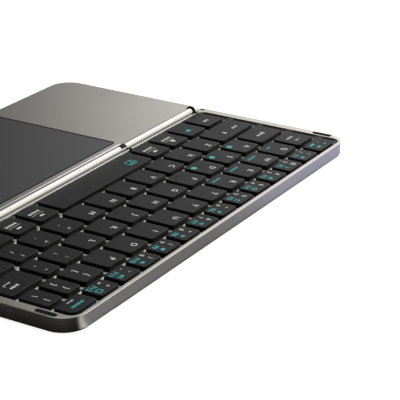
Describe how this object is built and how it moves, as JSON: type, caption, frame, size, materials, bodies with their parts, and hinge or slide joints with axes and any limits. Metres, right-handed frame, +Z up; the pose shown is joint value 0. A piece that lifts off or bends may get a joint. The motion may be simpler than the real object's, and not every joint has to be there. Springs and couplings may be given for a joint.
{
  "type": "folding_keyboard",
  "caption": "Folding wireless keyboard: metal key half and touchpad half joined by a polished barrel hinge, dark low-profile keys, large centre touchpad",
  "frame": {"origin": "middle of the open footprint on the table, straight below the hinge axis", "axes": "+X to the typist's right along the hinge, +Y away from the typist with the keys at +Y and the touchpad at -Y, +Z up from the table"},
  "size_m": [0.2566, 0.1856, 0.0108],
  "materials": {
    "frame_metal": "fine blasted anodised aluminium, warm silver grey",
    "cover_metal": "blasted anodised aluminium, darker grey",
    "polished_metal": "polished bright silver",
    "black_metal": "satin black lacquered zinc",
    "plain_steel": "plain steel",
    "key_plastic": "fine matt dark grey plastic with white and teal prints",
    "link_plastic": "smooth natural white plastic",
    "dome_rubber": "translucent white silicone rubber",
    "black_rubber": "matt black rubber",
    "clear_film": "clear film with printed silver tracks",
    "pad_glass": "satin dark grey plate",
    "circuit_board": "green solder mask",
    "battery_wrap": "soft dark foil pouch"
  },
  "bodies": {
    "keyboard_half": {"keyboard_frame": "frame_metal", "key_deck": "frame_metal", "keyboard_base": "cover_metal", "switch_plate": "plain_steel", "membrane": "clear_film", "rubber_domes": "dome_rubber", "scissor_links": "link_plastic", "keyboard_feet": "black_rubber", "rim_pads": "black_rubber", "keyboard_screws": "plain_steel", "keyboard_magnets": "plain_steel", "hinge_knuckles": "black_metal", "hinge_pins": "plain_steel"},
    "touchpad_half": {"touchpad_frame": "frame_metal", "touchpad_surface": "pad_glass", "touchpad_gasket": "black_rubber", "sensor_board": "circuit_board", "touchpad_base": "cover_metal", "touchpad_feet": "black_rubber", "touchpad_screws": "plain_steel", "touchpad_magnets": "plain_steel", "outer_barrels": "polished_metal", "middle_barrel": "polished_metal", "battery": "battery_wrap", "main_board": "circuit_board", "charging_socket": "plain_steel"},
    "key_a": {"key_a": "key_plastic"},
    "key_b": {"key_b": "key_plastic"},
    "key_c": {"key_c": "key_plastic"},
    "key_d": {"key_d": "key_plastic"},
    "key_e": {"key_e": "key_plastic"},
    "key_f": {"key_f": "key_plastic"},
    "key_g": {"key_g": "key_plastic"},
    "key_h": {"key_h": "key_plastic"},
    "key_i": {"key_i": "key_plastic"},
    "key_j": {"key_j": "key_plastic"},
    "key_k": {"key_k": "key_plastic"},
    "key_l": {"key_l": "key_plastic"},
    "key_m": {"key_m": "key_plastic"},
    "key_n": {"key_n": "key_plastic"},
    "key_o": {"key_o": "key_plastic"},
    "key_p": {"key_p": "key_plastic"},
    "key_q": {"key_q": "key_plastic"},
    "key_r": {"key_r": "key_plastic"},
    "key_s": {"key_s": "key_plastic"},
    "key_t": {"key_t": "key_plastic"},
    "key_u": {"key_u": "key_plastic"},
    "key_v": {"key_v": "key_plastic"},
    "key_w": {"key_w": "key_plastic"},
    "key_x": {"key_x": "key_plastic"},
    "key_y": {"key_y": "key_plastic"},
    "key_z": {"key_z": "key_plastic"},
    "key_space": {"key_space": "key_plastic"},
    "key_enter": {"key_enter": "key_plastic"},
    "key_right_shift": {"key_right_shift": "key_plastic"},
    "side_keys": {"side_keys": "key_plastic"},
    "punctuation_keys": {"punctuation_keys": "key_plastic"},
    "modifier_keys": {"modifier_keys": "key_plastic"},
    "arrow_keys": {"arrow_keys": "key_plastic"},
    "number_keys": {"number_keys": "key_plastic"}
  },
  "joints": [
    {"name": "fold", "type": "hinge", "parent": "keyboard_half", "child": "touchpad_half", "pos_m": [0, 0, 0.0078], "axis": [-1, 0, 0], "range_deg": [0, 180]},
    {"name": "press_a", "type": "slide", "parent": "keyboard_half", "child": "key_a", "axis": [0, 0, 1], "range_m": [-0.0014, 0], "stiffness_N_per_m": 200, "springref_m": 0.001, "deforming": ["rubber_domes", "scissor_links"]},
    {"name": "press_b", "type": "slide", "parent": "keyboard_half", "child": "key_b", "axis": [0, 0, 1], "range_m": [-0.0014, 0], "stiffness_N_per_m": 200, "springref_m": 0.001},
    {"name": "press_c", "type": "slide", "parent": "keyboard_half", "child": "key_c", "axis": [0, 0, 1], "range_m": [-0.0014, 0], "stiffness_N_per_m": 200, "springref_m": 0.001},
    {"name": "press_d", "type": "slide", "parent": "keyboard_half", "child": "key_d", "axis": [0, 0, 1], "range_m": [-0.0014, 0], "stiffness_N_per_m": 200, "springref_m": 0.001},
    {"name": "press_e", "type": "slide", "parent": "keyboard_half", "child": "key_e", "axis": [0, 0, 1], "range_m": [-0.0014, 0], "stiffness_N_per_m": 200, "springref_m": 0.001},
    {"name": "press_f", "type": "slide", "parent": "keyboard_half", "child": "key_f", "axis": [0, 0, 1], "range_m": [-0.0014, 0], "stiffness_N_per_m": 200, "springref_m": 0.001},
    {"name": "press_g", "type": "slide", "parent": "keyboard_half", "child": "key_g", "axis": [0, 0, 1], "range_m": [-0.0014, 0], "stiffness_N_per_m": 200, "springref_m": 0.001},
    {"name": "press_h", "type": "slide", "parent": "keyboard_half", "child": "key_h", "axis": [0, 0, 1], "range_m": [-0.0014, 0], "stiffness_N_per_m": 200, "springref_m": 0.001},
    {"name": "press_i", "type": "slide", "parent": "keyboard_half", "child": "key_i", "axis": [0, 0, 1], "range_m": [-0.0014, 0], "stiffness_N_per_m": 200, "springref_m": 0.001},
    {"name": "press_j", "type": "slide", "parent": "keyboard_half", "child": "key_j", "axis": [0, 0, 1], "range_m": [-0.0014, 0], "stiffness_N_per_m": 200, "springref_m": 0.001},
    {"name": "press_k", "type": "slide", "parent": "keyboard_half", "child": "key_k", "axis": [0, 0, 1], "range_m": [-0.0014, 0], "stiffness_N_per_m": 200, "springref_m": 0.001},
    {"name": "press_l", "type": "slide", "parent": "keyboard_half", "child": "key_l", "axis": [0, 0, 1], "range_m": [-0.0014, 0], "stiffness_N_per_m": 200, "springref_m": 0.001},
    {"name": "press_m", "type": "slide", "parent": "keyboard_half", "child": "key_m", "axis": [0, 0, 1], "range_m": [-0.0014, 0], "stiffness_N_per_m": 200, "springref_m": 0.001},
    {"name": "press_n", "type": "slide", "parent": "keyboard_half", "child": "key_n", "axis": [0, 0, 1], "range_m": [-0.0014, 0], "stiffness_N_per_m": 200, "springref_m": 0.001},
    {"name": "press_o", "type": "slide", "parent": "keyboard_half", "child": "key_o", "axis": [0, 0, 1], "range_m": [-0.0014, 0], "stiffness_N_per_m": 200, "springref_m": 0.001},
    {"name": "press_p", "type": "slide", "parent": "keyboard_half", "child": "key_p", "axis": [0, 0, 1], "range_m": [-0.0014, 0], "stiffness_N_per_m": 200, "springref_m": 0.001},
    {"name": "press_q", "type": "slide", "parent": "keyboard_half", "child": "key_q", "axis": [0, 0, 1], "range_m": [-0.0014, 0], "stiffness_N_per_m": 200, "springref_m": 0.001},
    {"name": "press_r", "type": "slide", "parent": "keyboard_half", "child": "key_r", "axis": [0, 0, 1], "range_m": [-0.0014, 0], "stiffness_N_per_m": 200, "springref_m": 0.001},
    {"name": "press_s", "type": "slide", "parent": "keyboard_half", "child": "key_s", "axis": [0, 0, 1], "range_m": [-0.0014, 0], "stiffness_N_per_m": 200, "springref_m": 0.001},
    {"name": "press_t", "type": "slide", "parent": "keyboard_half", "child": "key_t", "axis": [0, 0, 1], "range_m": [-0.0014, 0], "stiffness_N_per_m": 200, "springref_m": 0.001},
    {"name": "press_u", "type": "slide", "parent": "keyboard_half", "child": "key_u", "axis": [0, 0, 1], "range_m": [-0.0014, 0], "stiffness_N_per_m": 200, "springref_m": 0.001},
    {"name": "press_v", "type": "slide", "parent": "keyboard_half", "child": "key_v", "axis": [0, 0, 1], "range_m": [-0.0014, 0], "stiffness_N_per_m": 200, "springref_m": 0.001},
    {"name": "press_w", "type": "slide", "parent": "keyboard_half", "child": "key_w", "axis": [0, 0, 1], "range_m": [-0.0014, 0], "stiffness_N_per_m": 200, "springref_m": 0.001},
    {"name": "press_x", "type": "slide", "parent": "keyboard_half", "child": "key_x", "axis": [0, 0, 1], "range_m": [-0.0014, 0], "stiffness_N_per_m": 200, "springref_m": 0.001},
    {"name": "press_y", "type": "slide", "parent": "keyboard_half", "child": "key_y", "axis": [0, 0, 1], "range_m": [-0.0014, 0], "stiffness_N_per_m": 200, "springref_m": 0.001},
    {"name": "press_z", "type": "slide", "parent": "keyboard_half", "child": "key_z", "axis": [0, 0, 1], "range_m": [-0.0014, 0], "stiffness_N_per_m": 200, "springref_m": 0.001},
    {"name": "press_space", "type": "slide", "parent": "keyboard_half", "child": "key_space", "axis": [0, 0, 1], "range_m": [-0.0014, 0], "stiffness_N_per_m": 240, "springref_m": 0.001},
    {"name": "press_enter", "type": "slide", "parent": "keyboard_half", "child": "key_enter", "axis": [0, 0, 1], "range_m": [-0.0014, 0], "stiffness_N_per_m": 200, "springref_m": 0.001},
    {"name": "press_right_shift", "type": "slide", "parent": "keyboard_half", "child": "key_right_shift", "axis": [0, 0, 1], "range_m": [-0.0014, 0], "stiffness_N_per_m": 200, "springref_m": 0.001},
    {"name": "press_side_keys", "type": "slide", "parent": "keyboard_half", "child": "side_keys", "axis": [0, 0, 1], "range_m": [-0.0014, 0], "stiffness_N_per_m": 600, "springref_m": 0.001},
    {"name": "press_punctuation_keys", "type": "slide", "parent": "keyboard_half", "child": "punctuation_keys", "axis": [0, 0, 1], "range_m": [-0.0014, 0], "stiffness_N_per_m": 1600, "springref_m": 0.001},
    {"name": "press_modifier_keys", "type": "slide", "parent": "keyboard_half", "child": "modifier_keys", "axis": [0, 0, 1], "range_m": [-0.0014, 0], "stiffness_N_per_m": 1200, "springref_m": 0.001},
    {"name": "press_arrow_keys", "type": "slide", "parent": "keyboard_half", "child": "arrow_keys", "axis": [0, 0, 1], "range_m": [-0.0014, 0], "stiffness_N_per_m": 800, "springref_m": 0.001},
    {"name": "press_number_keys", "type": "slide", "parent": "keyboard_half", "child": "number_keys", "axis": [0, 0, 1], "range_m": [-0.0014, 0], "stiffness_N_per_m": 2800, "springref_m": 0.001}
  ]
}
